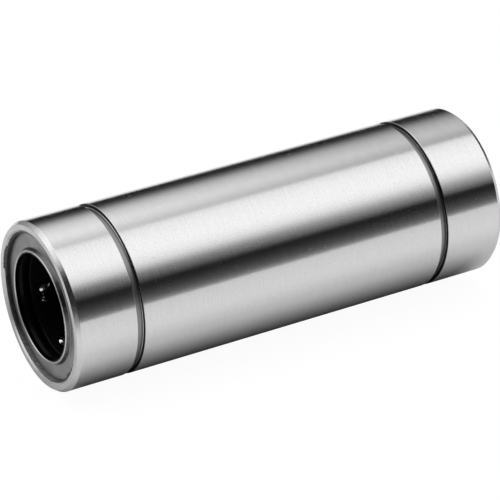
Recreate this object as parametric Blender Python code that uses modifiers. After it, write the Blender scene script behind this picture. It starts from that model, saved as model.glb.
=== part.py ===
# Long closed linear ball bearing for a round shaft.
#
# A ground steel sleeve carries two resin cages, one behind the other, with a spacer between them.
# Each cage has six racetrack circuits of balls. In every circuit one straight row of balls carries
# the shaft through a slot in the cage, the other row comes back, and two turns join them.
# Retaining rings hold the cages, and a steel shield with a rubber seal closes each end.
#
# The axis of the bearing is world X and it lies on its side, with the origin at its centre.
# Front is the -X end, and rear is the +X end.

import math

import bpy
from mathutils import Matrix, Vector

# Driving dimensions of the sleeve, in metres. Radii follow from the shaft outwards, and the wall
# outside the ball reliefs brings the outside diameter to 40 mm.
shaft_diameter = 0.025
sleeve_wall = 0.002531
sleeve_length = 0.112
groove_span = 0.082
groove_width = 0.00185
groove_depth = 0.001
chamfer_radial = 0.0007
chamfer_axial = 0.001
mouth_chamfer_radial = 0.00045
mouth_chamfer_axial = 0.00035

# Balls and their circuits
ball_diameter = 0.003969
contact_overlap = 0.000029
circuits = 6
first_circuit_angle = math.radians(-12.5)
return_rise = 0.0008
travel = 0.002

# Cages and the spacer between them
cage_wall_at_ends = 0.0006
spacer_length = 0.0112
spacer_wall = 0.0033

# Shield, seal and retaining ring at each end
collar_recess = 0.0003
collar_angle = math.radians(26)
shield_recess = 0.0014
shield_thickness = 0.0006
seal_rim_recess = 0.0005
seal_rim_wall = 0.0003
seal_thickness = 0.0008
seal_tongue_recess = 0.0011
seal_lip_interference = 0.00008
seal_lip_land = 0.00015
ring_thickness = 0.0008
ring_depth_in_groove = 0.00055
ring_width = 0.0029
ring_opening = 0.007
pocket_step = 0.00018

# Clearances
seat_gap = 0.0002
raceway_clearance = 0.00005
track_clearance = 0.0002
cage_clearance = 0.00017
cage_shaft_clearance = 0.00025
collar_shaft_clearance = 0.0001
turn_ball_gap = 0.00005
recess_run_out = 0.0003

# Facets
sleeve_sides = 32
ring_sides = 24
turn_steps = 6
track_floor_steps = 4
return_track_sides = 10
loaded_ball_sides = 6
loaded_ball_bands = 4
hidden_ball_sides = 4
hidden_ball_bands = 3
crease_angle = math.radians(30)

# Radii worked out from the shaft outwards
shaft_radius = shaft_diameter / 2
ball_radius = ball_diameter / 2
loaded_row_radius = shaft_radius + ball_radius
return_row_radius = loaded_row_radius + return_rise
raceway_radius = shaft_radius + ball_diameter + raceway_clearance
relief_radius = return_row_radius + ball_radius + track_clearance
outer_radius = relief_radius + sleeve_wall
pocket_radius = relief_radius + pocket_step
ring_outer_radius = pocket_radius + ring_depth_in_groove
ring_groove_radius = ring_outer_radius + seat_gap
cage_bore_radius = shaft_radius + cage_shaft_clearance
cage_outer_radius = raceway_radius - cage_clearance
collar_bore_radius = shaft_radius + collar_shaft_clearance
groove_floor_radius = outer_radius - groove_depth

# Depths worked out from the end faces inwards
half_length = sleeve_length / 2
shield_back = shield_recess + shield_thickness
seal_front = shield_back + seat_gap
seal_back = seal_front + seal_thickness
ring_front = seal_back + seat_gap
ring_back = ring_front + ring_thickness
cage_start = ring_back + seat_gap
cage_length = half_length - cage_start - seat_gap - spacer_length / 2

# One circuit: two balls a quarter turn apart touch each other, which sets the turn radius
ball_pitch = ball_diameter - contact_overlap
turn_radius = ball_pitch / math.sqrt(2)
track_radius = ball_radius + track_clearance
turn_reach = turn_radius + track_radius
contact_arc = 2 * turn_radius * math.asin((ball_diameter + turn_ball_gap) / (2 * turn_radius))
row_margin = contact_arc - turn_radius * math.pi / 4
row_room = cage_length - 2 * (cage_wall_at_ends + turn_reach + row_margin)
balls_per_row = int(row_room / ball_pitch) + 1
straight_length = (balls_per_row - 1) * ball_pitch + 2 * row_margin
outer_turn_depth = cage_start + cage_wall_at_ends + turn_reach
inner_turn_depth = outer_turn_depth + straight_length
circuit_depth = (outer_turn_depth + inner_turn_depth) / 2
row_angle = math.acos(
    (loaded_row_radius**2 + return_row_radius**2 - (2 * turn_radius) ** 2)
    / (2 * loaded_row_radius * return_row_radius)
)

AXIAL = Vector((1, 0, 0))
LOADED_BALL = (loaded_ball_sides, loaded_ball_bands)
HIDDEN_BALL = (hidden_ball_sides, hidden_ball_bands)

# Colour, roughness and metallic value of each kind of part
GROUND_STEEL = ((0.62, 0.62, 0.63, 1), 0.28, 1.0)
PRESSED_STEEL = ((0.32, 0.32, 0.33, 1), 0.45, 1.0)
SPRING_STEEL = ((0.16, 0.16, 0.17, 1), 0.4, 1.0)
BALL_STEEL = ((0.75, 0.75, 0.77, 1), 0.08, 1.0)
BLACK_RESIN = ((0.012, 0.012, 0.013, 1), 0.4, 0.0)
BLACK_RUBBER = ((0.02, 0.02, 0.02, 1), 0.7, 0.0)


def clear_scene():
    for obj in list(bpy.data.objects):
        bpy.data.objects.remove(obj, do_unlink=True)


def new_collection(name):
    collection = bpy.data.collections.new(name)
    bpy.context.scene.collection.children.link(collection)
    return collection


def give_material(obj, look):
    colour, roughness, metallic = look
    material = bpy.data.materials.new(obj.name + "_material")
    material.use_nodes = True
    shader = material.node_tree.nodes["Principled BSDF"]
    shader.inputs["Base Color"].default_value = colour
    shader.inputs["Roughness"].default_value = roughness
    shader.inputs["Metallic"].default_value = metallic
    obj.data.materials.clear()
    obj.data.materials.append(material)


def evaluated_mesh(obj):
    bpy.context.view_layer.update()
    graph = bpy.context.evaluated_depsgraph_get()
    return bpy.data.meshes.new_from_object(obj.evaluated_get(graph))


def apply_modifiers(obj):
    mesh = evaluated_mesh(obj)
    obj.modifiers.clear()
    obj.data = mesh
    mesh.shade_smooth()
    mesh.set_sharp_from_angle(angle=crease_angle)


def lying_along_axis(sides):
    """Turn local Z to world X, with one of the flats facing the ground."""
    return Matrix.Rotation(math.pi / 2, 4, "Y") @ Matrix.Rotation(math.pi / sides, 4, "Z")


def profile_mesh(name, points, closed):
    """A line of (radius, height) points in the XZ plane, to be turned about Z."""
    mesh = bpy.data.meshes.new(name)
    count = len(points)
    edges = [(i, i + 1) for i in range(count - 1)]
    if closed:
        edges.append((count - 1, 0))
    mesh.from_pydata([(radius, 0, height) for radius, height in points], edges, [])
    return mesh


def add_screw(obj, sides):
    screw = obj.modifiers.new("turn", "SCREW")
    screw.steps = sides
    screw.render_steps = sides
    screw.use_merge_vertices = True
    screw.merge_threshold = 1e-6


def signed_area(points):
    area = 0
    for (r1, x1), (r2, x2) in zip(points, points[1:] + points[:1]):
        area += r1 * x2 - r2 * x1
    return area / 2


def turned_ring(name, outline, sides, collection, flats_on_radius=False):
    """Turn a closed outline of (radius, world x) points about the axis of the bearing.

    The outline runs down its outer side. With flats_on_radius the flats, and not the corners,
    lie at the given radii, so a bore never closes in on what runs in it.
    """
    stretch = 1 / math.cos(math.pi / sides) if flats_on_radius else 1
    points = [(radius * stretch, x) for radius, x in outline]
    if signed_area(points) > 0:
        points.reverse()
    obj = bpy.data.objects.new(name, profile_mesh(name, points, closed=True))
    collection.objects.link(obj)
    obj.matrix_world = lying_along_axis(sides)
    add_screw(obj, sides)
    apply_modifiers(obj)
    return obj


def end_outline(points, end):
    """Turn (depth from the end face, radius) points into (radius, world x) points."""
    return [(radius, end * (half_length - depth)) for depth, radius in points]


def cut(obj, cutters):
    for cutter in cutters.objects:
        cutter.hide_render = True
        cutter.display_type = "WIRE"
    boolean = obj.modifiers.new("cut", "BOOLEAN")
    boolean.operation = "DIFFERENCE"
    boolean.solver = "EXACT"
    boolean.operand_type = "COLLECTION"
    boolean.collection = cutters
    apply_modifiers(obj)


def circuit_frame(index, end):
    """Centre, chord direction and outward normal of a circuit's plane.

    The chord runs from the loaded row to the return row.
    """
    loaded_angle = first_circuit_angle + index * 2 * math.pi / circuits
    return_angle = loaded_angle - row_angle
    x = end * (half_length - circuit_depth)
    loaded = on_circle(loaded_row_radius, loaded_angle, x)
    returning = on_circle(return_row_radius, return_angle, x)
    chord = (returning - loaded).normalized()
    return (loaded + returning) / 2, chord, AXIAL.cross(chord)


def on_circle(radius, angle, x):
    return Vector((x, radius * math.cos(angle), radius * math.sin(angle)))


def outer_sleeve_outline():
    """Outer side with two ring grooves, bore with seats, ball reliefs and raceway lands."""
    groove_outer = half_length - groove_span / 2
    outside = [
        (0, outer_radius - chamfer_radial),
        (chamfer_axial, outer_radius),
        (groove_outer, outer_radius),
        (groove_outer, groove_floor_radius),
        (groove_outer + groove_width, groove_floor_radius),
        (groove_outer + groove_width, outer_radius),
    ]
    inner_relief_end = inner_turn_depth + turn_reach + recess_run_out
    inside = [
        (0, pocket_radius + mouth_chamfer_radial),
        (mouth_chamfer_axial, pocket_radius),
        (seal_back, pocket_radius),
        (seal_back, ring_groove_radius),
        (cage_start, ring_groove_radius),
        (cage_start, relief_radius),
        (outer_turn_depth, relief_radius),
        (outer_turn_depth, raceway_radius),
        (inner_turn_depth, raceway_radius),
        (inner_turn_depth, relief_radius),
        (inner_relief_end, relief_radius),
        (inner_relief_end, raceway_radius),
    ]
    front = end_outline(outside, -1)
    rear = end_outline(outside, 1)
    bore_front = end_outline(inside, -1)
    bore_rear = end_outline(inside, 1)
    return front + rear[::-1] + bore_rear + bore_front[::-1]


def return_track_cutters():
    """Round rods along the return rows, which leave the raceway lands standing between them."""
    cutters = new_collection("return_track_cutters")
    for end in (-1, 1):
        for index in range(circuits):
            centre, chord, _ = circuit_frame(index, end)
            bpy.ops.mesh.primitive_cylinder_add(
                vertices=return_track_sides,
                radius=track_radius,
                depth=straight_length + 2 * recess_run_out,
                location=centre + chord * turn_radius,
                rotation=(0, math.pi / 2, 0),
            )
            move_to_collection(bpy.context.object, cutters)
    return cutters


def move_to_collection(obj, collection):
    for old in obj.users_collection:
        old.objects.unlink(obj)
    collection.objects.link(obj)


def make_outer_sleeve(parts):
    sleeve = turned_ring(
        "outer_sleeve", outer_sleeve_outline(), sleeve_sides, parts, flats_on_radius=True
    )
    cut(sleeve, return_track_cutters())
    give_material(sleeve, GROUND_STEEL)


def racetrack_points():
    """Centre line of a circuit: two half circles, joined by its straights."""
    points = []
    for side in (1, -1):
        for step in range(turn_steps + 1):
            angle = -math.pi / 2 + math.pi * step / turn_steps
            x = side * (straight_length / 2 + turn_radius * math.cos(angle))
            y = side * turn_radius * math.sin(angle)
            points.append((x, y, 0))
    return points


def track_section_points():
    """Section of a ball track: a round floor under the ball, and walls that run out of the cage."""
    wall_top = cage_outer_radius
    points = [(-track_radius, wall_top, 0), (track_radius, wall_top, 0)]
    for step in range(track_floor_steps + 1):
        angle = -math.pi * step / track_floor_steps
        points.append((track_radius * math.cos(angle), track_radius * math.sin(angle), 0))
    return points


def closed_curve(name, points):
    curve = bpy.data.curves.new(name, "CURVE")
    curve.dimensions = "3D"
    curve.twist_mode = "Z_UP"
    spline = curve.splines.new("POLY")
    spline.points.add(len(points) - 1)
    for point, place in zip(spline.points, points):
        point.co = (*place, 1)
    spline.use_cyclic_u = True
    obj = bpy.data.objects.new(name, curve)
    bpy.context.scene.collection.objects.link(obj)
    return obj


def racetrack_cutter_mesh():
    section = closed_curve("track_section", track_section_points())
    path = closed_curve("racetrack", racetrack_points())
    path.data.bevel_mode = "OBJECT"
    path.data.bevel_object = section
    mesh = evaluated_mesh(path)
    bpy.data.objects.remove(path, do_unlink=True)
    bpy.data.objects.remove(section, do_unlink=True)
    return mesh


def make_cage(name, end, cutter_mesh, parts):
    """A resin tube with a racetrack channel for each circuit.

    A channel is sunk from the outside. Its floor is closed under the return row, and breaks into
    the bore under the loaded row as a slot narrower than the balls.
    """
    tube = [
        (cage_start, cage_bore_radius),
        (cage_start, cage_outer_radius),
        (cage_start + cage_length, cage_outer_radius),
        (cage_start + cage_length, cage_bore_radius),
    ]
    cage = turned_ring(name, end_outline(tube, end), sleeve_sides, parts)
    cutters = new_collection(name + "_cutters")
    for index in range(circuits):
        centre, chord, normal = circuit_frame(index, end)
        cutter = bpy.data.objects.new(f"{name}_track_{index + 1}", cutter_mesh)
        turned = Matrix((AXIAL, chord, normal)).transposed().to_4x4()
        cutter.matrix_world = Matrix.Translation(centre) @ turned
        cutters.objects.link(cutter)
    cut(cage, cutters)
    give_material(cage, BLACK_RESIN)


def make_spacer(parts):
    half = spacer_length / 2
    outer = cage_outer_radius
    inner = outer - spacer_wall
    outline = [(outer, half), (outer, -half), (inner, -half), (inner, half)]
    give_material(turned_ring("middle_spacer", outline, ring_sides, parts), SPRING_STEEL)


def collar_inner_radius(depth):
    """Inside of the shield's collar, which widens from its front edge to the plate."""
    return collar_bore_radius + (depth - collar_recess) * math.tan(collar_angle)


def make_shield(name, end, parts):
    """A pressed steel washer whose inner edge is drawn out into a cone round the shaft."""
    rim = pocket_radius - seat_gap - seal_rim_wall - seat_gap
    outline = [
        (collar_recess, collar_bore_radius),
        (collar_recess, collar_bore_radius + shield_thickness),
        (shield_recess, collar_inner_radius(shield_recess) + shield_thickness),
        (shield_recess, rim),
        (shield_back, rim),
        (shield_back, collar_inner_radius(shield_back)),
    ]
    give_material(turned_ring(name, end_outline(outline, end), sleeve_sides, parts), PRESSED_STEEL)


def make_seal(name, end, parts):
    """A rubber washer with a rim round the shield, a tongue in its collar and a lip on the shaft."""
    rim_outer = pocket_radius - seat_gap
    rim_inner = rim_outer - seal_rim_wall
    lip = shaft_radius - seal_lip_interference
    collar_gap = seat_gap / math.cos(collar_angle)
    outline = [
        (seal_rim_recess, rim_inner),
        (seal_rim_recess, rim_outer),
        (seal_back, rim_outer),
        (seal_back, lip),
        (seal_back - seal_lip_land, lip),
        (seal_tongue_recess, collar_bore_radius),
        (seal_tongue_recess, collar_inner_radius(seal_tongue_recess) - collar_gap),
        (seal_front, collar_inner_radius(seal_front) - collar_gap),
        (seal_front, rim_inner),
    ]
    give_material(turned_ring(name, end_outline(outline, end), ring_sides, parts), BLACK_RUBBER)


def make_retaining_ring(name, end, parts):
    """An open spring ring, sprung into its groove in front of the cage."""
    inner = ring_outer_radius - ring_width
    outline = [
        (ring_front, inner),
        (ring_front, ring_outer_radius),
        (ring_back, ring_outer_radius),
        (ring_back, inner),
    ]
    ring = turned_ring(name, end_outline(outline, end), ring_sides, parts)
    cutters = new_collection(name + "_cutters")
    middle = end * (half_length - (ring_front + ring_back) / 2)
    bpy.ops.mesh.primitive_cube_add(size=1, location=(middle, 0, ring_outer_radius))
    opening = bpy.context.object
    opening.scale = (2 * ring_thickness, ring_opening, 4 * ring_width)
    move_to_collection(opening, cutters)
    cut(ring, cutters)
    give_material(ring, SPRING_STEEL)


def ball_string_points(count, bands):
    """Profile of a row of balls that touch, from its first pole to its last.

    The pitch is a little under the diameter, so neighbours share the small neck of their contact.
    """
    neck = math.acos(ball_pitch / ball_diameter)
    points = []
    for ball in range(count):
        centre = ((count - 1) / 2 - ball) * ball_pitch
        start = 0 if ball == 0 else neck
        stop = math.pi if ball == count - 1 else math.pi - neck
        for band in range(0 if ball == 0 else 1, bands + 1):
            angle = start + (stop - start) * band / bands
            height = centre + ball_radius * math.cos(angle)
            points.append((ball_radius * math.sin(angle), height))
    return points


def make_ball_string(name, count, facets, place, direction, parts, parent=None):
    """A row of balls centred on a place. Its facets are its sides and its bands on each ball."""
    sides, bands = facets
    profile = profile_mesh(name, ball_string_points(count, bands), closed=False)
    balls = bpy.data.objects.new(name, profile)
    parts.objects.link(balls)
    balls.rotation_mode = "QUATERNION"
    balls.rotation_quaternion = direction.to_track_quat("Z", "Y")
    balls.location = place
    balls.parent = parent
    add_screw(balls, sides)
    apply_modifiers(balls)
    give_material(balls, BALL_STEEL)


def make_turn(name, place, chord, outwards, parts):
    """Two balls in the turn of a circuit, on an empty that marks the axis they swing about."""
    pivot = bpy.data.objects.new(name + "_pivot", None)
    pivot.empty_display_size = ball_diameter
    pivot.location = place
    parts.objects.link(pivot)
    offset = outwards * AXIAL * turn_radius / math.sqrt(2)
    make_ball_string(name, 2, HIDDEN_BALL, offset, chord, parts, parent=pivot)


def make_circuit(prefix, index, end, parts):
    centre, chord, _ = circuit_frame(index, end)
    number = index + 1
    loaded = centre - chord * turn_radius
    returning = centre + chord * turn_radius
    loaded_name = f"{prefix}_loaded_balls_{number}"
    return_name = f"{prefix}_return_balls_{number}"
    make_ball_string(loaded_name, balls_per_row, LOADED_BALL, loaded, AXIAL, parts)
    make_ball_string(return_name, balls_per_row, HIDDEN_BALL, returning, AXIAL, parts)
    for place, outwards in (("outer", end), ("inner", -end)):
        turn_centre = centre + outwards * AXIAL * straight_length / 2
        make_turn(f"{prefix}_{place}_turn_balls_{number}", turn_centre, chord, outwards, parts)


def build():
    clear_scene()
    parts = new_collection("linear_bearing")
    make_outer_sleeve(parts)
    make_spacer(parts)
    cutter_mesh = racetrack_cutter_mesh()
    for prefix, end in (("front", -1), ("rear", 1)):
        make_cage(f"{prefix}_cage", end, cutter_mesh, parts)
        make_retaining_ring(f"{prefix}_retaining_ring", end, parts)
        make_seal(f"{prefix}_seal", end, parts)
        make_shield(f"{prefix}_shield", end, parts)
        for index in range(circuits):
            make_circuit(prefix, index, end, parts)


build()
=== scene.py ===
import math

import bmesh
import bpy
from mathutils import Matrix, Vector
from mathutils.noise import noise as noise_at


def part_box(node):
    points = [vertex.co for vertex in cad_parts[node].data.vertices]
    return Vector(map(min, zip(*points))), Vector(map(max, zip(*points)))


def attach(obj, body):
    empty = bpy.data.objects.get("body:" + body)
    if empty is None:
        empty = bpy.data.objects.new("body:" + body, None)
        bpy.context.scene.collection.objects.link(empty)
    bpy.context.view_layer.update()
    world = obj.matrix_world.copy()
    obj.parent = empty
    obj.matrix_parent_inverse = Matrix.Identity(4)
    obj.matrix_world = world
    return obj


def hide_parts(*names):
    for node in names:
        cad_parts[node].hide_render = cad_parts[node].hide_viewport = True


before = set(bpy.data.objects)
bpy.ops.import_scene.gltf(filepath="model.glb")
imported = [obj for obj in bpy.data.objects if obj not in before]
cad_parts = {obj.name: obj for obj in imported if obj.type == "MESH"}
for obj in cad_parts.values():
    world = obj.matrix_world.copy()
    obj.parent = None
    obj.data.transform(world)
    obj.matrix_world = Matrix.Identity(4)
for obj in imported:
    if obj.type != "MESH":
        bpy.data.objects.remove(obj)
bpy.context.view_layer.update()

# Sizes of the bearing, in metres, as the frame has them. The axis is world X, front is -X.
# A depth is measured along the axis, from the end face inwards.
half_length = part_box("outer_sleeve")[1].x
outer_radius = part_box("outer_sleeve")[1].z
shaft_radius = 0.0125
chamfer_depth = 0.001
chamfer_height = 0.0007
groove_outer = half_length - 0.041
groove_inner = groove_outer + 0.00185
groove_floor_radius = outer_radius - 0.001

# Balls and their circuits
ball_radius = 0.0019845
ball_pitch = 0.00394
balls_per_row = 8
circuits = 6
first_circuit_angle = math.radians(-12.5)
loaded_row_radius = shaft_radius + ball_radius
return_row_radius = loaded_row_radius + 0.0008
turn_radius = ball_pitch / math.sqrt(2)
straight_length = 0.03218
outer_turn_depth = 0.00977
row_angle = math.acos(
    (loaded_row_radius**2 + return_row_radius**2 - (2 * turn_radius) ** 2)
    / (2 * loaded_row_radius * return_row_radius)
)
track_radius = ball_radius + 0.0002
track_play = 0.0003
raceway_radius = 0.016519
relief_radius = 0.017469

# Cages, the spacer between them, and the spring rings that hold them
cage_start = 0.0042
cage_bore_radius = 0.01275
cage_outer_radius = 0.016349
spacer_half_length = 0.0056
spacer_wall = 0.0033
cage_gap = 0.0002
spring_ring_front = 0.0032
spring_ring_back = 0.0040
spring_ring_bore = 0.0153
spring_ring_outside = 0.0182
spring_ring_opening = 0.007
ring_groove_radius = 0.0184

# Shield and seal
pocket_radius = 0.01765
mouth_depth = 0.00035
mouth_height = 0.00045
shield_front = 0.0014
shield_thickness = 0.0006
collar_front = 0.0003
collar_bore = 0.0126
collar_slope = math.tan(math.radians(26))
plate_edge_radius = 0.01725
seal_front = 0.0005
seal_back = 0.003
seal_play = 0.00002
lip_radius = shaft_radius - 0.00008
lip_front = 0.0022
lip_back = 0.0026
throat_depth = 0.0014
throat_radius = shaft_radius + 0.0002
lining_front = 0.00045
lining_radius = shaft_radius + 0.00005
torn_angle = math.radians(14)
torn_half_width = math.radians(13)

AXIAL = Vector((1, 0, 0))
SHARP_ANGLE = math.radians(28)

# Material numbers on the sleeve, the shield and the seal
OUTSIDE, GROOVE_FLOOR, FACE, POCKET, BORE, CHAMFER, GROOVE_WALL = range(7)
PLATE, COLLAR_RIM, COLLAR_FLANK = range(3)
SEAL_RIM, SEAL_LINING = range(2)


# Meshes

def fillet(corners, closed=True):
    """Points of an outline whose corners, given as (depth, radius, fillet), are rounded by arcs.

    One more point on each side of an arc keeps its shading off the straight stretches.
    """
    steps = 5
    points = []
    count = len(corners)
    for i, (x, y, size) in enumerate(corners):
        here = Vector((x, y))
        if size == 0 or (not closed and i in (0, count - 1)):
            points.append(here)
            continue
        before = Vector(corners[i - 1][:2]) - here
        after = Vector(corners[(i + 1) % count][:2]) - here
        half = before.angle(after) / 2
        before.normalize()
        after.normalize()
        start = here + before * size / math.tan(half)
        stop = here + after * size / math.tan(half)
        middle = here + (before + after).normalized() * size / math.sin(half)
        points.append(start + before * size / 5)
        for step in range(steps + 1):
            spoke = (start - middle).lerp(stop - middle, step / steps)
            points.append(middle + spoke.normalized() * size)
        points.append(stop + after * size / 5)
    return points


def link(obj):
    bpy.context.scene.collection.objects.link(obj)
    return obj


def lathe(name, outline, end, segments, rule=None):
    """Turn an outline of (depth, radius) points about the axis of the bearing.

    rule gives each band of faces its material number, from the band's middle depth and radius.
    """
    mesh = bpy.data.meshes.new(name)
    form = bmesh.new()
    rings = []
    for depth, radius in outline:
        x = end * (half_length - depth)
        angles = (2 * math.pi * step / segments for step in range(segments))
        rings.append([form.verts.new(on_circle(radius, angle, x)) for angle in angles])
    for i, ring in enumerate(rings):
        following = (i + 1) % len(rings)
        middle = (outline[i] + outline[following]) / 2
        number = rule(*middle) if rule else 0
        for step in range(segments):
            after = (step + 1) % segments
            corners = (ring[step], ring[after], rings[following][after], rings[following][step])
            face = form.faces.new(corners)
            face.material_index = number
            face.smooth = True
    bmesh.ops.recalc_face_normals(form, faces=form.faces)
    form.to_mesh(mesh)
    form.free()
    mesh.set_sharp_from_angle(angle=SHARP_ANGLE)
    return link(bpy.data.objects.new(name, mesh))


def on_circle(radius, angle, x):
    return Vector((x, radius * math.cos(angle), radius * math.sin(angle)))


def evaluated_mesh(obj):
    bpy.context.view_layer.update()
    return bpy.data.meshes.new_from_object(obj.evaluated_get(bpy.context.evaluated_depsgraph_get()))


def cut_away(obj, cutters):
    """Cut the cutters from the piece, and remove them."""
    group = bpy.data.collections.new(obj.name + "_cutters")
    for cutter in cutters:
        group.objects.link(cutter)
    boolean = obj.modifiers.new("cut", "BOOLEAN")
    boolean.solver = "EXACT"
    boolean.operand_type = "COLLECTION"
    boolean.collection = group
    mesh = evaluated_mesh(obj)
    obj.modifiers.clear()
    obj.data = mesh
    mesh.set_sharp_from_angle(angle=SHARP_ANGLE)
    for cutter in cutters:
        bpy.data.objects.remove(cutter, do_unlink=True)
    bpy.data.collections.remove(group)


def finish_piece(piece, node, body, materials=()):
    """Give the piece its materials, put it in the node's place and let it ride on its body."""
    for material in materials:
        piece.data.materials.append(material)
    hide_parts(node)
    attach(piece, body)


# Nodes of materials

def shader_of(name, colour, roughness, metallic):
    """A new material, its shader and its node tree."""
    material = bpy.data.materials.new(name)
    material.use_nodes = True
    shader = material.node_tree.nodes["Principled BSDF"]
    shader.inputs["Base Color"].default_value = (*colour, 1)
    shader.inputs["Roughness"].default_value = roughness
    shader.inputs["Metallic"].default_value = metallic
    return material, shader, material.node_tree


def add_node(tree, kind, **settings):
    node = tree.nodes.new(kind)
    for key, value in settings.items():
        setattr(node, key, value)
    return node


def noise(tree, scale, detail, place_scale=(1, 1, 1), roughness=0.5):
    """Noise in object space, stretched by place_scale."""
    place = add_node(tree, "ShaderNodeTexCoord")
    stretch = add_node(tree, "ShaderNodeMapping")
    stretch.inputs["Scale"].default_value = place_scale
    texture = add_node(tree, "ShaderNodeTexNoise")
    texture.inputs["Scale"].default_value = scale
    texture.inputs["Detail"].default_value = detail
    texture.inputs["Roughness"].default_value = roughness
    tree.links.new(place.outputs["Object"], stretch.inputs["Vector"])
    tree.links.new(stretch.outputs["Vector"], texture.inputs["Vector"])
    return texture.outputs["Fac"]


def split_xyz(tree, vector):
    """The three parts of a vector."""
    node = add_node(tree, "ShaderNodeSeparateXYZ")
    tree.links.new(vector, node.inputs["Vector"])
    return node.outputs["X"], node.outputs["Y"], node.outputs["Z"]


def spread(tree, value, low, high, from_low=0.3, from_high=0.7):
    """Map a value onto the range from low to high, and keep it there."""
    node = add_node(tree, "ShaderNodeMapRange")
    node.inputs["From Min"].default_value = from_low
    node.inputs["From Max"].default_value = from_high
    node.inputs["To Min"].default_value = low
    node.inputs["To Max"].default_value = high
    tree.links.new(value, node.inputs["Value"])
    return node.outputs["Result"]


def calculate(tree, operation, a, b):
    node = add_node(tree, "ShaderNodeMath", operation=operation)
    for slot, value in zip(node.inputs, (a, b)):
        if isinstance(value, (int, float)):
            slot.default_value = value
        else:
            tree.links.new(value, slot)
    return node.outputs["Value"]


def times(tree, a, b):
    return calculate(tree, "MULTIPLY", a, b)


def plus(tree, a, b):
    return calculate(tree, "ADD", a, b)


def rest_to_one(tree, value):
    return calculate(tree, "SUBTRACT", 1, value)


def ramp(tree, value, stops):
    """A level that follows (value, level) stops, and keeps to the end stops beyond them."""
    first, last = stops[0][0], stops[-1][0]
    highest = max(level for _, level in stops)
    node = add_node(tree, "ShaderNodeValToRGB")
    elements = node.color_ramp.elements
    while len(elements) < len(stops):
        elements.new(0.5)
    for element, (place, level) in zip(elements, stops):
        element.position = (place - first) / (last - first)
        element.color = (level / highest, level / highest, level / highest, 1)
    tree.links.new(spread(tree, value, 0, 1, first, last), node.inputs["Fac"])
    return times(tree, node.outputs["Color"], highest)


def grey(tree, value):
    """A grey colour of that brightness."""
    node = add_node(tree, "ShaderNodeCombineColor")
    for channel in ("Red", "Green", "Blue"):
        tree.links.new(value, node.inputs[channel])
    return node.outputs["Color"]


def set_tone(tree, shader, value):
    tree.links.new(grey(tree, value), shader.inputs["Base Color"])


def add_bump(tree, shader, height, distance):
    node = add_node(tree, "ShaderNodeBump")
    node.inputs["Distance"].default_value = distance
    node.inputs["Strength"].default_value = 1
    tree.links.new(height, node.inputs["Height"])
    tree.links.new(node.outputs["Normal"], shader.inputs["Normal"])


def add_cloud(tree, shader, cloud, tones, bump, rough=None):
    """Let tone, bump and, where a range is given, roughness follow one noise."""
    set_tone(tree, shader, spread(tree, cloud, *tones))
    if rough:
        tree.links.new(spread(tree, cloud, *rough), shader.inputs["Roughness"])
    add_bump(tree, shader, cloud, bump)


def turn_lines_round_axis(tree, shader, anisotropy, rotation):
    tangent = add_node(tree, "ShaderNodeTangent", direction_type="RADIAL", axis="X")
    tree.links.new(tangent.outputs["Tangent"], shader.inputs["Tangent"])
    shader.inputs["Anisotropic"].default_value = anisotropy
    shader.inputs["Anisotropic Rotation"].default_value = rotation


# Materials

def ground_steel():
    """Steel ground round the axis: fine streaks round it, a fine grain and a few specks and nicks."""
    material, shader, tree = shader_of("ground_steel", (0.72, 0.72, 0.73), 0.2, 1.0)
    streaks = noise(tree, 1, 3, (5000, 150, 150), 0.65)
    grain = noise(tree, 4200, 3)
    specks = spread(tree, noise(tree, 3000, 0), 0, 1, 0.85, 0.88)
    nicks = spread(tree, noise(tree, 1, 0, (700, 5200, 5200)), 0, 1, 0.84, 0.87)
    marks = calculate(tree, "MAXIMUM", specks, nicks)
    streak_tone = spread(tree, streaks, 0.685, 0.745)
    set_tone(tree, shader, plus(tree, streak_tone, spread(tree, grain, -0.05, 0.05)))
    rough = plus(tree, spread(tree, streaks, 0.15, 0.19), times(tree, marks, 0.2))
    tree.links.new(rough, shader.inputs["Roughness"])
    add_bump(tree, shader, plus(tree, streaks, times(tree, grain, 0.2)), 0.00001)
    turn_lines_round_axis(tree, shader, 0.94, 0.25)
    return material


def shaded_turned_steel():
    """The floors of the ring grooves: turned and rougher than the outside, and darker than it as
    painted shade in the grooves.
    """
    material, shader, tree = shader_of("shaded_turned_steel", (0.4, 0.4, 0.41), 0.34, 1.0)
    lines = noise(tree, 1, 4, (7000, 80, 80), 0.6)
    add_cloud(tree, shader, lines, (0.24, 0.34), 0.000004)
    return material


def shaded_groove_wall_steel():
    """The walls of the ring grooves, painted black as the shade in the grooves, and rough."""
    material, shader, tree = shader_of("shaded_groove_wall_steel", (0.03, 0.03, 0.03), 0.45, 0.8)
    add_cloud(tree, shader, noise(tree, 2500, 3), (0.015, 0.05), 0.00001)
    return material


def face_steel():
    """End faces and seal mouths, finely turned."""
    material, shader, tree = shader_of("face_steel", (0.66, 0.66, 0.67), 0.3, 1.0)
    cloud = noise(tree, 900, 4)
    set_tone(tree, shader, spread(tree, cloud, 0.62, 0.72))
    tree.links.new(spread(tree, cloud, 0.26, 0.34), shader.inputs["Roughness"])
    add_bump(tree, shader, noise(tree, 2500, 3), 0.000008)
    return material


def chamfer_steel():
    """The outer chamfers and the feet of the ring grooves, bright but lightly mottled."""
    material, shader, tree = shader_of("chamfer_steel", (0.68, 0.68, 0.69), 0.22, 1.0)
    add_cloud(tree, shader, noise(tree, 1500, 3), (0.66, 0.72), 0.000004, (0.19, 0.25))
    return material


def shaded_pocket_steel():
    """The seal pockets, painted dark as the shade in these recesses, and rough."""
    material, shader, tree = shader_of("shaded_pocket_steel", (0.22, 0.22, 0.22), 0.5, 1.0)
    add_cloud(tree, shader, noise(tree, 900, 5), (0.14, 0.3), 0.00002)
    return material


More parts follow.
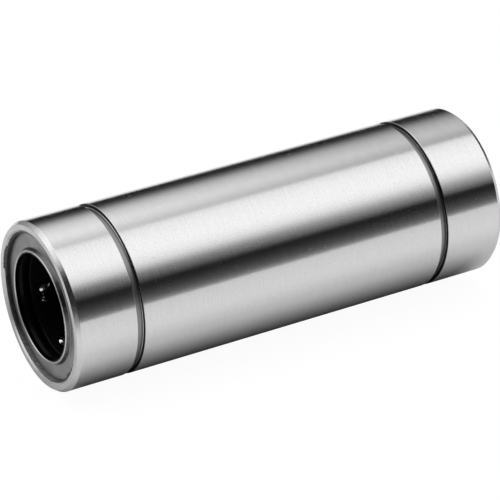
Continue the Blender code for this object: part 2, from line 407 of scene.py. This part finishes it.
def shield_steel():
    """Pressed sheet steel, matt and slightly clouded."""
    material, shader, tree = shader_of("shield_steel", (0.33, 0.33, 0.33), 0.42, 0.75)
    cloud = noise(tree, 260, 5)
    grain = noise(tree, 4000, 3)
    cloud_tone = spread(tree, cloud, 0.29, 0.38)
    set_tone(tree, shader, plus(tree, cloud_tone, spread(tree, grain, -0.03, 0.03)))
    tree.links.new(spread(tree, grain, 0.37, 0.50), shader.inputs["Roughness"])
    add_bump(tree, shader, grain, 0.000006)
    return material


def highlit_collar_steel():
    """The rim of the shield's collar, painted brighter than the plate as a painted highlight on its
    rounded edge.
    """
    material, shader, tree = shader_of("highlit_collar_steel", (0.6, 0.6, 0.61), 0.34, 1.0)
    add_cloud(tree, shader, noise(tree, 1400, 3), (0.6, 0.74), 0.000008, (0.28, 0.4))
    return material


def shaded_flank_steel():
    """The flank of the collar, painted dark as the shade in its bend."""
    material, shader, tree = shader_of("shaded_flank_steel", (0.15, 0.15, 0.15), 0.3, 1.0)
    add_cloud(tree, shader, noise(tree, 900, 4), (0.12, 0.19), 0.000008, (0.25, 0.38))
    return material


def spring_steel():
    """Dark oiled steel of the spring rings and the spacer."""
    material, shader, tree = shader_of("spring_steel", (0.12, 0.12, 0.13), 0.38, 0.9)
    add_cloud(tree, shader, noise(tree, 1200, 4), (0.08, 0.16), 0.000008)
    return material


def ball_steel():
    """Polished steel of the balls and the raceways."""
    material, shader, tree = shader_of("ball_steel", (0.8, 0.8, 0.81), 0.06, 1.0)
    tree.links.new(spread(tree, noise(tree, 900, 3), 0.04, 0.09), shader.inputs["Roughness"])
    return material


def cage_resin():
    """Black moulded resin with a fine grain."""
    material, shader, tree = shader_of("cage_resin", (0.005, 0.005, 0.005), 0.5, 0.0)
    shader.inputs["Specular IOR Level"].default_value = 0.15
    add_cloud(tree, shader, noise(tree, 3500, 3), (0.004, 0.008), 0.00001, (0.36, 0.5))
    return material


def seal_rubber():
    """Black rubber, rough with small nibs where it was trimmed, and painted lighter at its lowest
    part as a painted sheen from the table.
    """
    material, shader, tree = shader_of("seal_rubber", (0.03, 0.03, 0.03), 0.4, 0.0)
    shader.inputs["Specular IOR Level"].default_value = 0.7
    nibs = noise(tree, 1300, 5, roughness=0.7)
    place = add_node(tree, "ShaderNodeTexCoord")
    _, y, z = split_xyz(tree, place.outputs["Object"])
    # Painted sheen: the lowest part of the rubber is made lighter, as if it caught the table's light.
    low_y, low_z = 0.174, -0.985
    sheen_from, sheen_to = 0.0135, 0.016
    low = plus(tree, times(tree, y, low_y), times(tree, z, low_z))
    low_part = spread(tree, low, 0, 0.2, sheen_from, sheen_to)
    painted_sheen = times(tree, low_part, spread(tree, nibs, 0.5, 1.3))
    set_tone(tree, shader, plus(tree, spread(tree, nibs, 0.008, 0.04), painted_sheen))
    tree.links.new(spread(tree, nibs, 0.3, 0.55), shader.inputs["Roughness"])
    add_bump(tree, shader, nibs, 0.00005)
    return material


def shaded_lip_rubber():
    """The lining and the lip, smoother and with a film of grease, painted a deeper black as the shade
    inside the bore.
    """
    material, shader, tree = shader_of("shaded_lip_rubber", (0.002, 0.002, 0.002), 0.35, 0.0)
    shader.inputs["Specular IOR Level"].default_value = 0.12
    add_cloud(tree, shader, noise(tree, 1600, 3), (0.0012, 0.003), 0.00002, (0.25, 0.45))
    return material


# Pieces that stay still

def sleeve_outline():
    """Half of the sleeve, from the middle of its outside round the end to the middle of its bore."""
    inner_turn = outer_turn_depth + straight_length
    inner_relief_end = inner_turn + turn_radius + track_radius + track_play
    return fillet([
        (half_length, outer_radius, 0),
        (groove_inner, outer_radius, 0.00012),
        (groove_inner, groove_floor_radius, 0.00014),
        (groove_outer, groove_floor_radius, 0.00005),
        (groove_outer, outer_radius, 0.00012),
        (chamfer_depth, outer_radius, 0.0003),
        (0, outer_radius - chamfer_height, 0.00015),
        (0, pocket_radius + mouth_height, 0.0001),
        (mouth_depth, pocket_radius, 0.0001),
        (seal_back, pocket_radius, 0),
        (seal_back, ring_groove_radius, 0),
        (cage_start, ring_groove_radius, 0),
        (cage_start, relief_radius, 0),
        (outer_turn_depth, relief_radius, 0),
        (outer_turn_depth, raceway_radius, 0),
        (inner_turn, raceway_radius, 0),
        (inner_turn, relief_radius, 0),
        (inner_relief_end, relief_radius, 0),
        (inner_relief_end, raceway_radius, 0),
        (half_length, raceway_radius, 0),
    ], closed=False)


def sleeve_rule(depth, radius):
    """Material number of a band of the sleeve, whose fillets go with one of their two sides."""
    slack = 0.00001
    edge = 0.0001
    face_edge = outer_radius - chamfer_height + 0.00005
    groove_foot = groove_floor_radius + 0.00012
    depth = min(depth, 2 * half_length - depth)
    if depth < mouth_depth - slack and radius < face_edge:
        return FACE
    if depth < chamfer_depth and radius >= face_edge:
        return CHAMFER
    if radius > outer_radius - edge:
        return OUTSIDE
    if radius > groove_foot:
        return GROOVE_WALL
    if radius > groove_floor_radius + slack:
        return CHAMFER
    if radius > ring_groove_radius + edge:
        return GROOVE_FLOOR
    return POCKET if depth < cage_start else BORE


def circuit_frame(index, end):
    """Centre of a circuit, the direction from its loaded to its return row, and its normal."""
    loaded_angle = first_circuit_angle + index * 2 * math.pi / circuits
    x = end * (half_length - outer_turn_depth - straight_length / 2)
    loaded = on_circle(loaded_row_radius, loaded_angle, x)
    returning = on_circle(return_row_radius, loaded_angle - row_angle, x)
    chord = (returning - loaded).normalized()
    return (loaded + returning) / 2, chord, AXIAL.cross(chord)


def return_track_cutter(index, end, material):
    """A round bar along the return row, a little longer than its straight stretch."""
    centre, chord, _ = circuit_frame(index, end)
    bpy.ops.mesh.primitive_cylinder_add(
        vertices=40, radius=track_radius, depth=straight_length + 2 * track_play,
        location=centre + chord * turn_radius, rotation=(0, math.pi / 2, 0))
    cutter = bpy.context.object
    cutter.data.materials.append(material)
    return cutter


def make_sleeve(materials):
    front = sleeve_outline()[1:-1]
    rear = [Vector((2 * half_length - p.x, p.y)) for p in reversed(front)]
    sleeve = lathe("ground_sleeve", front + rear, -1, 256, sleeve_rule)
    for material in materials:
        sleeve.data.materials.append(material)
    places = [(index, end) for end in (-1, 1) for index in range(circuits)]
    cut_away(sleeve, [return_track_cutter(index, end, materials[BORE]) for index, end in places])
    finish_piece(sleeve, "outer_sleeve", "bearing_body")


def collar_inside(depth):
    """Inside radius of the shield's collar, which widens from its front edge to the plate."""
    return collar_bore + (depth - collar_front) * collar_slope


def shield_rule(depth, radius):
    """Material number of a band of the shield."""
    if depth < collar_front + 0.0005:
        return COLLAR_RIM
    is_outside = radius > collar_inside(depth) + shield_thickness / 2
    return COLLAR_FLANK if depth < shield_front - 0.0001 and is_outside else PLATE


def make_shield(end, side, materials):
    """A pressed plate whose inner edge is drawn out into a cone with a rounded rim."""
    back = shield_front + shield_thickness
    outline = fillet([
        (collar_front, collar_bore, 0.00026),
        (collar_front, collar_bore + shield_thickness, 0.00026),
        (shield_front, collar_inside(shield_front) + shield_thickness, 0.00025),
        (shield_front, plate_edge_radius, 0.0001),
        (back, plate_edge_radius, 0.00005),
        (back, collar_inside(back), 0.0002),
    ])
    shield = lathe(f"{side}_shield_plate", outline, end, 256, shield_rule)
    finish_piece(shield, f"{side}_shield", "bearing_body", materials)


def seal_rule(depth, radius):
    """Material number of a band of the seal."""
    # All but the rim's front take the darker rubber, which is painted shade.
    return SEAL_RIM if radius > plate_edge_radius and depth < 0.0012 else SEAL_LINING


def make_seal(end, side, materials):
    """Rubber round the plate's edge, inside its collar and behind it, down to the lip."""
    rim_inner = plate_edge_radius + seal_play
    rim_outer = pocket_radius - seal_play
    behind_plate = shield_front + shield_thickness + seal_play
    outline = fillet([
        (seal_front, rim_inner, 0.00008),
        (seal_front, rim_outer, 0.00012),
        (seal_back, rim_outer, 0.0001),
        (seal_back, lip_radius, 0.00003),
        (lip_back, lip_radius, 0.00005),
        (lip_front, lip_radius, 0.00004),
        (throat_depth, throat_radius, 0.0003),
        (lining_front, lining_radius, 0.00003),
        (lining_front, collar_inside(lining_front) - seal_play, 0.00003),
        (behind_plate, collar_inside(behind_plate) - seal_play, 0.00005),
        (behind_plate, rim_inner, 0.00005),
        (shield_front, rim_inner, 0),
    ])
    seal = lathe(f"{side}_rubber_seal", outline, end, 720, seal_rule)
    roughen_rim(seal, end, rim_inner)
    finish_piece(seal, f"{side}_seal", "bearing_body", materials)


def roughen_rim(seal, end, rim_inner):
    """Ragged flash on the seal's rim: nibs inside it, and tongues up the mouth's chamfer."""
    rim_depth = 0.0011
    nib_band = 0.00015
    nib_depth = 0.0003
    nib_height = 0.0006
    tongue_band = 0.00014
    tongue_length = 0.00046
    for vertex in seal.data.vertices:
        depth = half_length - end * vertex.co.x
        radius = math.hypot(vertex.co.y, vertex.co.z)
        if depth > rim_depth or radius < plate_edge_radius:
            continue
        nib = max(0, noise_at(vertex.co * 1900))
        if abs(radius - rim_inner) < nib_band:
            size = max(0, 0.4 + 1.5 * noise_at(vertex.co * 120)) * nib
            new_depth = depth - size * nib_depth
            new_radius = radius - size * nib_height
        else:
            share = min(1, (pocket_radius - radius) / tongue_band)
            reach = tongue_at(vertex.co, nib) * share * tongue_length
            new_depth = depth - reach
            new_radius = min(radius + reach, mouth_radius(new_depth) - seal_play)
        vertex.co.x = end * (half_length - new_depth)
        vertex.co.y *= new_radius / radius
        vertex.co.z *= new_radius / radius


def tongue_at(place, nib):
    """Height of the flash from 0 to 1: a torn patch on one side, and small tongues elsewhere."""
    off_tear = abs(math.atan2(place.z, place.y) - torn_angle) / torn_half_width
    tear = max(0, 1.5 - off_tear**2) * (0.9 + 0.6 * noise_at(place * 1500))
    small = 2 * noise_at(place * 260) - 0.5 + 0.8 * nib
    return max(0, min(1, max(tear, small)))


def mouth_radius(depth):
    """Radius of the pocket's wall, which its mouth chamfer widens."""
    return pocket_radius + max(0, mouth_depth - depth) * mouth_height / mouth_depth


def make_spring_ring(end, side, material):
    """A ring sprung into its groove behind the seal, open at the top."""
    outline = fillet([
        (spring_ring_front, spring_ring_bore, 0.0001),
        (spring_ring_front, spring_ring_outside, 0.0001),
        (spring_ring_back, spring_ring_outside, 0.0001),
        (spring_ring_back, spring_ring_bore, 0.0001),
    ])
    ring = lathe(f"{side}_spring_ring", outline, end, 128)
    middle = half_length - (spring_ring_front + spring_ring_back) / 2
    thickness = spring_ring_back - spring_ring_front
    width = spring_ring_outside - spring_ring_bore
    bpy.ops.mesh.primitive_cube_add(size=1, location=(end * middle, 0, spring_ring_outside))
    opening = bpy.context.object
    opening.scale = (2 * thickness, spring_ring_opening, 4 * width)
    cut_away(ring, [opening])
    ring.data.materials.clear()
    finish_piece(ring, f"{side}_retaining_ring", "bearing_body", [material])


def make_spacer(material):
    outline = fillet([
        (half_length - spacer_half_length, cage_outer_radius - spacer_wall, 0.0003),
        (half_length - spacer_half_length, cage_outer_radius, 0.0002),
        (half_length + spacer_half_length, cage_outer_radius, 0.0002),
        (half_length + spacer_half_length, cage_outer_radius - spacer_wall, 0.0003),
    ])
    spacer = lathe("spacer_ring", outline, -1, 160)
    finish_piece(spacer, "middle_spacer", "bearing_body", [material])


# Cages

def closed_curve(name, points):
    curve = bpy.data.curves.new(name, "CURVE")
    curve.dimensions = "3D"
    curve.twist_mode = "Z_UP"
    spline = curve.splines.new("POLY")
    spline.points.add(len(points) - 1)
    for point, place in zip(spline.points, points):
        point.co = (*place, 0, 1)
    spline.use_cyclic_u = True
    return link(bpy.data.objects.new(name, curve))


def racetrack_points():
    """The route of a circuit, two half turns joined by straight stretches."""
    steps = 20
    points = []
    for side in (1, -1):
        for step in range(steps + 1):
            angle = -math.pi / 2 + math.pi * step / steps
            along = side * (straight_length / 2 + turn_radius * math.cos(angle))
            points.append((along, side * turn_radius * math.sin(angle)))
    return points


def track_section_points():
    """Across the track: a round floor, and straight walls out to the outside of the cage."""
    steps = 14
    points = [(-track_radius, cage_outer_radius), (track_radius, cage_outer_radius)]
    for step in range(steps + 1):
        angle = -math.pi * step / steps
        points.append((track_radius * math.cos(angle), track_radius * math.sin(angle)))
    return points


def track_cutter_mesh():
    """A ball track swept round the racetrack of a circuit."""
    path = closed_curve("racetrack", racetrack_points())
    profile = closed_curve("track_section", track_section_points())
    path.data.bevel_mode = "OBJECT"
    path.data.bevel_object = profile
    mesh = evaluated_mesh(path)
    bpy.data.objects.remove(path, do_unlink=True)
    bpy.data.objects.remove(profile, do_unlink=True)
    return mesh


def track_cutter(index, end, cutter_mesh):
    centre, chord, normal = circuit_frame(index, end)
    cutter = link(bpy.data.objects.new(f"track_{index}", cutter_mesh))
    turned = Matrix((AXIAL, chord, normal)).transposed().to_4x4()
    cutter.matrix_world = Matrix.Translation(centre) @ turned
    return cutter


def make_cage(end, side, cutter_mesh, material):
    stop = half_length - spacer_half_length - cage_gap
    outline = fillet([
        (cage_start, cage_bore_radius, 0.0003),
        (cage_start, cage_outer_radius, 0.0002),
        (stop, cage_outer_radius, 0.0002),
        (stop, cage_bore_radius, 0.0003),
    ])
    cage = lathe(f"{side}_resin_cage", outline, end, 144)
    cut_away(cage, [track_cutter(index, end, cutter_mesh) for index in range(circuits)])
    cage.data.materials.clear()
    finish_piece(cage, f"{side}_cage", "bearing_body", [material])


# Balls

def make_balls(name, node, centres, material):
    """Separate round balls, in place of a row of touching ones."""
    mesh = bpy.data.meshes.new(name)
    form = bmesh.new()
    radius = ball_radius - 0.00001
    for centre in centres:
        turned = Matrix.Translation(centre) @ Matrix.Rotation(math.pi / 2, 4, "Y")
        bmesh.ops.create_uvsphere(form, u_segments=32, v_segments=20, radius=radius, matrix=turned)
    form.to_mesh(mesh)
    form.free()
    mesh.shade_smooth()
    balls = link(bpy.data.objects.new(name, mesh))
    finish_piece(balls, node, node, [material])


def make_circuit(end, side, index, material):
    """The four groups of balls of a circuit: loaded row, return row, outer and inner turn."""
    centre, chord, _ = circuit_frame(index, end)
    number = index + 1
    middle_ball = (balls_per_row - 1) / 2
    row = [AXIAL * (i - middle_ball) * ball_pitch for i in range(balls_per_row)]
    for kind, sign in (("loaded", -1), ("return", 1)):
        middle = centre + sign * chord * turn_radius
        centres = [middle + place for place in row]
        make_balls(f"{side}_{kind}_row_{number}", f"{side}_{kind}_balls_{number}", centres, material)
    for kind, outwards in (("outer", end), ("inner", -end)):
        middle = centre + outwards * AXIAL * (straight_length + ball_pitch) / 2
        pair = [middle - chord * ball_pitch / 2, middle + chord * ball_pitch / 2]
        node = f"{side}_{kind}_turn_balls_{number}"
        make_balls(f"{side}_{kind}_turn_{number}", node, pair, material)


# Light of the room

# Angles run round the axis in degrees, from the horizon behind the bearing, over its top, to the
# horizon in front of it. Levels along the axis run with the x of the direction.
softbox_seam = 76.2
behind_round = (
    (0, 0.008), (6, 0.012), (12, 0.04), (18, 0.105), (24, 0.27), (32, 0.54),
    (42, 0.76), (54, 0.92), (60, 0.93), (66, 0.85), (76.2, 0.66),
)
behind_along = (
    (0.28, 1.5), (0.36, 1.26), (0.394, 1.18), (0.43, 0.98), (0.46, 0.765), (0.48, 0.645),
    (0.6, 0.35),
)
low_fill_round = ((0, 0.3), (18, 0.3), (28, 0))
low_fill_along = ((0, 1), (0.2, 0))
over_round = (
    (70, 0.96), (76, 1.0), (84, 1.13), (94, 1.22), (112, 1.29), (120, 1.25), (126, 1.13),
    (132, 0.91), (138, 0.68), (144, 0.45), (150, 0.21), (153, 0.08), (154, 0.018), (180, 0.018),
)
front_horizon = ((157, 0), (162, 0.013), (168, 0.045), (174, 0.10), (177, 0.18), (180, 0.31))
left_shift = ((-0.7, 48), (-0.45, 42), (0, 24), (0.33, 0))
late_angles = (130, 140)
late_shift = ((0.36, 13), (0.37, 12), (0.394, 8), (0.43, 3.5), (0.46, 0.5), (0.48, 0))


def light_behind(tree, angle, along):
    """The softbox behind the bearing, with a low fill to its left."""
    softbox = times(tree, ramp(tree, angle, behind_round), ramp(tree, along, behind_along))
    fill = times(tree, ramp(tree, angle, low_fill_round), ramp(tree, along, low_fill_along))
    return plus(tree, softbox, fill)


def light_over(tree, angle, along):
    """The softbox over the bearing, whose front edge slants, and a glow on the front horizon."""
    late = times(tree, spread(tree, angle, 0, 1, *late_angles), ramp(tree, along, late_shift))
    shift = plus(tree, ramp(tree, along, left_shift), late)
    softbox = ramp(tree, plus(tree, angle, shift), over_round)
    return plus(tree, softbox, ramp(tree, angle, front_horizon))


def mix_by_camera_ray(tree, for_others, for_camera):
    rays = add_node(tree, "ShaderNodeLightPath")
    mix = add_node(tree, "ShaderNodeMixShader")
    tree.links.new(rays.outputs["Is Camera Ray"], mix.inputs["Fac"])
    tree.links.new(for_others, mix.inputs[1])
    tree.links.new(for_camera, mix.inputs[2])
    return mix.outputs["Shader"]


def make_world():
    """Two long softboxes along the bearing in a dark room, before a white backdrop."""
    world = bpy.data.worlds.new("studio")
    bpy.context.scene.world = world
    world.use_nodes = True
    tree = world.node_tree
    place = add_node(tree, "ShaderNodeTexCoord")
    along, y, z = split_xyz(tree, place.outputs["Generated"])
    angle = times(tree, calculate(tree, "ARCTAN2", z, y), 180 / math.pi)
    is_over = calculate(tree, "GREATER_THAN", angle, softbox_seam)
    is_behind = rest_to_one(tree, is_over)
    back_light = times(tree, light_behind(tree, angle, along), is_behind)
    top_light = times(tree, light_over(tree, angle, along), is_over)
    studio = tree.nodes["Background"]
    tree.links.new(grey(tree, plus(tree, back_light, top_light)), studio.inputs["Color"])
    white = add_node(tree, "ShaderNodeBackground")
    white.inputs["Color"].default_value = (1, 1, 1, 1)
    mixed = mix_by_camera_ray(tree, studio.outputs["Background"], white.outputs["Background"])
    tree.links.new(mixed, tree.nodes["World Output"].inputs["Surface"])


# Painted shadow and glow on the table

# Places are in metres from the middle of the bearing, x along it and y across.
table_back, table_front, table_side = 0.24, 2.5, 2.0
table_paleness = 0.875
table_glow = 0.13
lit_beside = (
    (0.0045, 0), (0.0109, 0.21), (0.0147, 0.43), (0.0177, 0.62), (0.0212, 0.82), (0.026, 0.99),
    (0.03, 1),
)
lit_past_ends = (0.0465, 0.0595)
dim_far_left = ((-0.25, 0.45), (-0.10, 1))
shadow_start = (-0.055, -0.045)
shadow_seam = (-0.078, -0.070)
shadow_near = (
    (0.008, 1), (0.015, 0.85), (0.023, 0.55), (0.033, 0.45), (0.041, 0.66), (0.049, 0.74),
    (0.056, 0.8),
)
shadow_beyond = ((0.030, 1), (0.045, 0.83), (0.055, 0.8))
glow_across = (
    (-0.25, 0.03), (-0.13, 0.065), (-0.09, 0.085), (-0.056, 0.12), (-0.047, 0.12), (-0.040, 0.10),
    (-0.032, 0.05), (-0.022, 0), (0.02, 0), (0.035, 0.14), (0.24, 0.14),
)


def light_left(tree, x, y):
    """Share of the light that is left in the shadow before the front end, and far to the left."""
    is_near = spread(tree, x, 0, 1, *shadow_seam)
    near = times(tree, ramp(tree, y, shadow_near), is_near)
    beyond = times(tree, ramp(tree, y, shadow_beyond), rest_to_one(tree, is_near))
    loss = rest_to_one(tree, plus(tree, near, beyond))
    loss = times(tree, loss, spread(tree, x, 1, 0, *shadow_start))
    return times(tree, rest_to_one(tree, loss), ramp(tree, x, dim_far_left))


def light_table(tree, shader):
    """Paint a shadow on the table, dim close to the bearing, and pale with a painted glow elsewhere.
    """
    where = add_node(tree, "ShaderNodeNewGeometry")
    x, y, _ = split_xyz(tree, where.outputs["Position"])
    beside = ramp(tree, calculate(tree, "ABSOLUTE", y, 0), lit_beside)
    beyond = spread(tree, calculate(tree, "ABSOLUTE", x, 0), 0, 1, *lit_past_ends)
    clear = calculate(tree, "MAXIMUM", beside, beyond)
    dim = light_left(tree, x, y)
    set_tone(tree, shader, times(tree, times(tree, clear, dim), table_paleness))
    glow = plus(tree, times(tree, clear, table_glow), ramp(tree, y, glow_across))
    shader.inputs["Emission Color"].default_value = (1, 1, 1, 1)
    tree.links.new(times(tree, glow, dim), shader.inputs["Emission Strength"])


def white_for_camera(tree):
    """Nearly white, with a faint diffuse part that takes the shadow."""
    seen = add_node(tree, "ShaderNodeEmission")
    seen.inputs["Strength"].default_value = 0.95
    faint = add_node(tree, "ShaderNodeBsdfDiffuse")
    faint.inputs["Color"].default_value = (0.1, 0.1, 0.1, 1)
    both = add_node(tree, "ShaderNodeAddShader")
    tree.links.new(seen.outputs["Emission"], both.inputs[0])
    tree.links.new(faint.outputs["BSDF"], both.inputs[1])
    return both.outputs["Shader"]


def make_table():
    """A softly lit white table that the camera sees as white."""
    middle = (0, (table_back - table_front) / 2, -outer_radius)
    bpy.ops.mesh.primitive_plane_add(size=1, location=middle)
    table = bpy.context.object
    table.name = "table"
    table.scale = (2 * table_side, table_back + table_front, 1)
    material, shader, tree = shader_of("white_table", (0.9, 0.9, 0.9), 0.9, 0.0)
    shader.inputs["Specular IOR Level"].default_value = 0
    light_table(tree, shader)
    mixed = mix_by_camera_ray(tree, shader.outputs["BSDF"], white_for_camera(tree))
    tree.links.new(mixed, tree.nodes["Material Output"].inputs["Surface"])
    table.data.materials.append(material)


# Camera

def make_camera():
    """The photograph's view: level, from the front left and above, through a long lens."""
    azimuth, elevation = math.radians(-29.65), math.radians(30.142)
    level = math.cos(elevation)
    back = Vector((math.sin(azimuth) * level, -math.cos(azimuth) * level, math.sin(elevation)))
    data = bpy.data.cameras.new("camera")
    data.lens = 224.918
    data.sensor_width = 36
    data.clip_start, data.clip_end = 0.01, 20
    camera = link(bpy.data.objects.new("camera", data))
    camera.location = (-0.312271, -0.546777, 0.364556)
    camera.rotation_mode = "QUATERNION"
    camera.rotation_quaternion = (-back).to_track_quat("-Z", "Y")
    bpy.context.scene.camera = camera


def main():
    bpy.context.scene.view_settings.view_transform = "Standard"
    make_camera()
    make_world()
    make_table()
    polished, spring, resin = ball_steel(), spring_steel(), cage_resin()
    rubber = [seal_rubber(), shaded_lip_rubber()]
    sheet = [shield_steel(), highlit_collar_steel(), shaded_flank_steel()]
    make_sleeve([
        ground_steel(), shaded_turned_steel(), face_steel(), shaded_pocket_steel(), polished, chamfer_steel(),
        shaded_groove_wall_steel(),
    ])
    make_spacer(spring)
    cutter_mesh = track_cutter_mesh()
    for side, end in (("front", -1), ("rear", 1)):
        make_shield(end, side, sheet)
        make_seal(end, side, rubber)
        make_spring_ring(end, side, spring)
        make_cage(end, side, cutter_mesh, resin)
        for index in range(circuits):
            make_circuit(end, side, index, polished)


main()
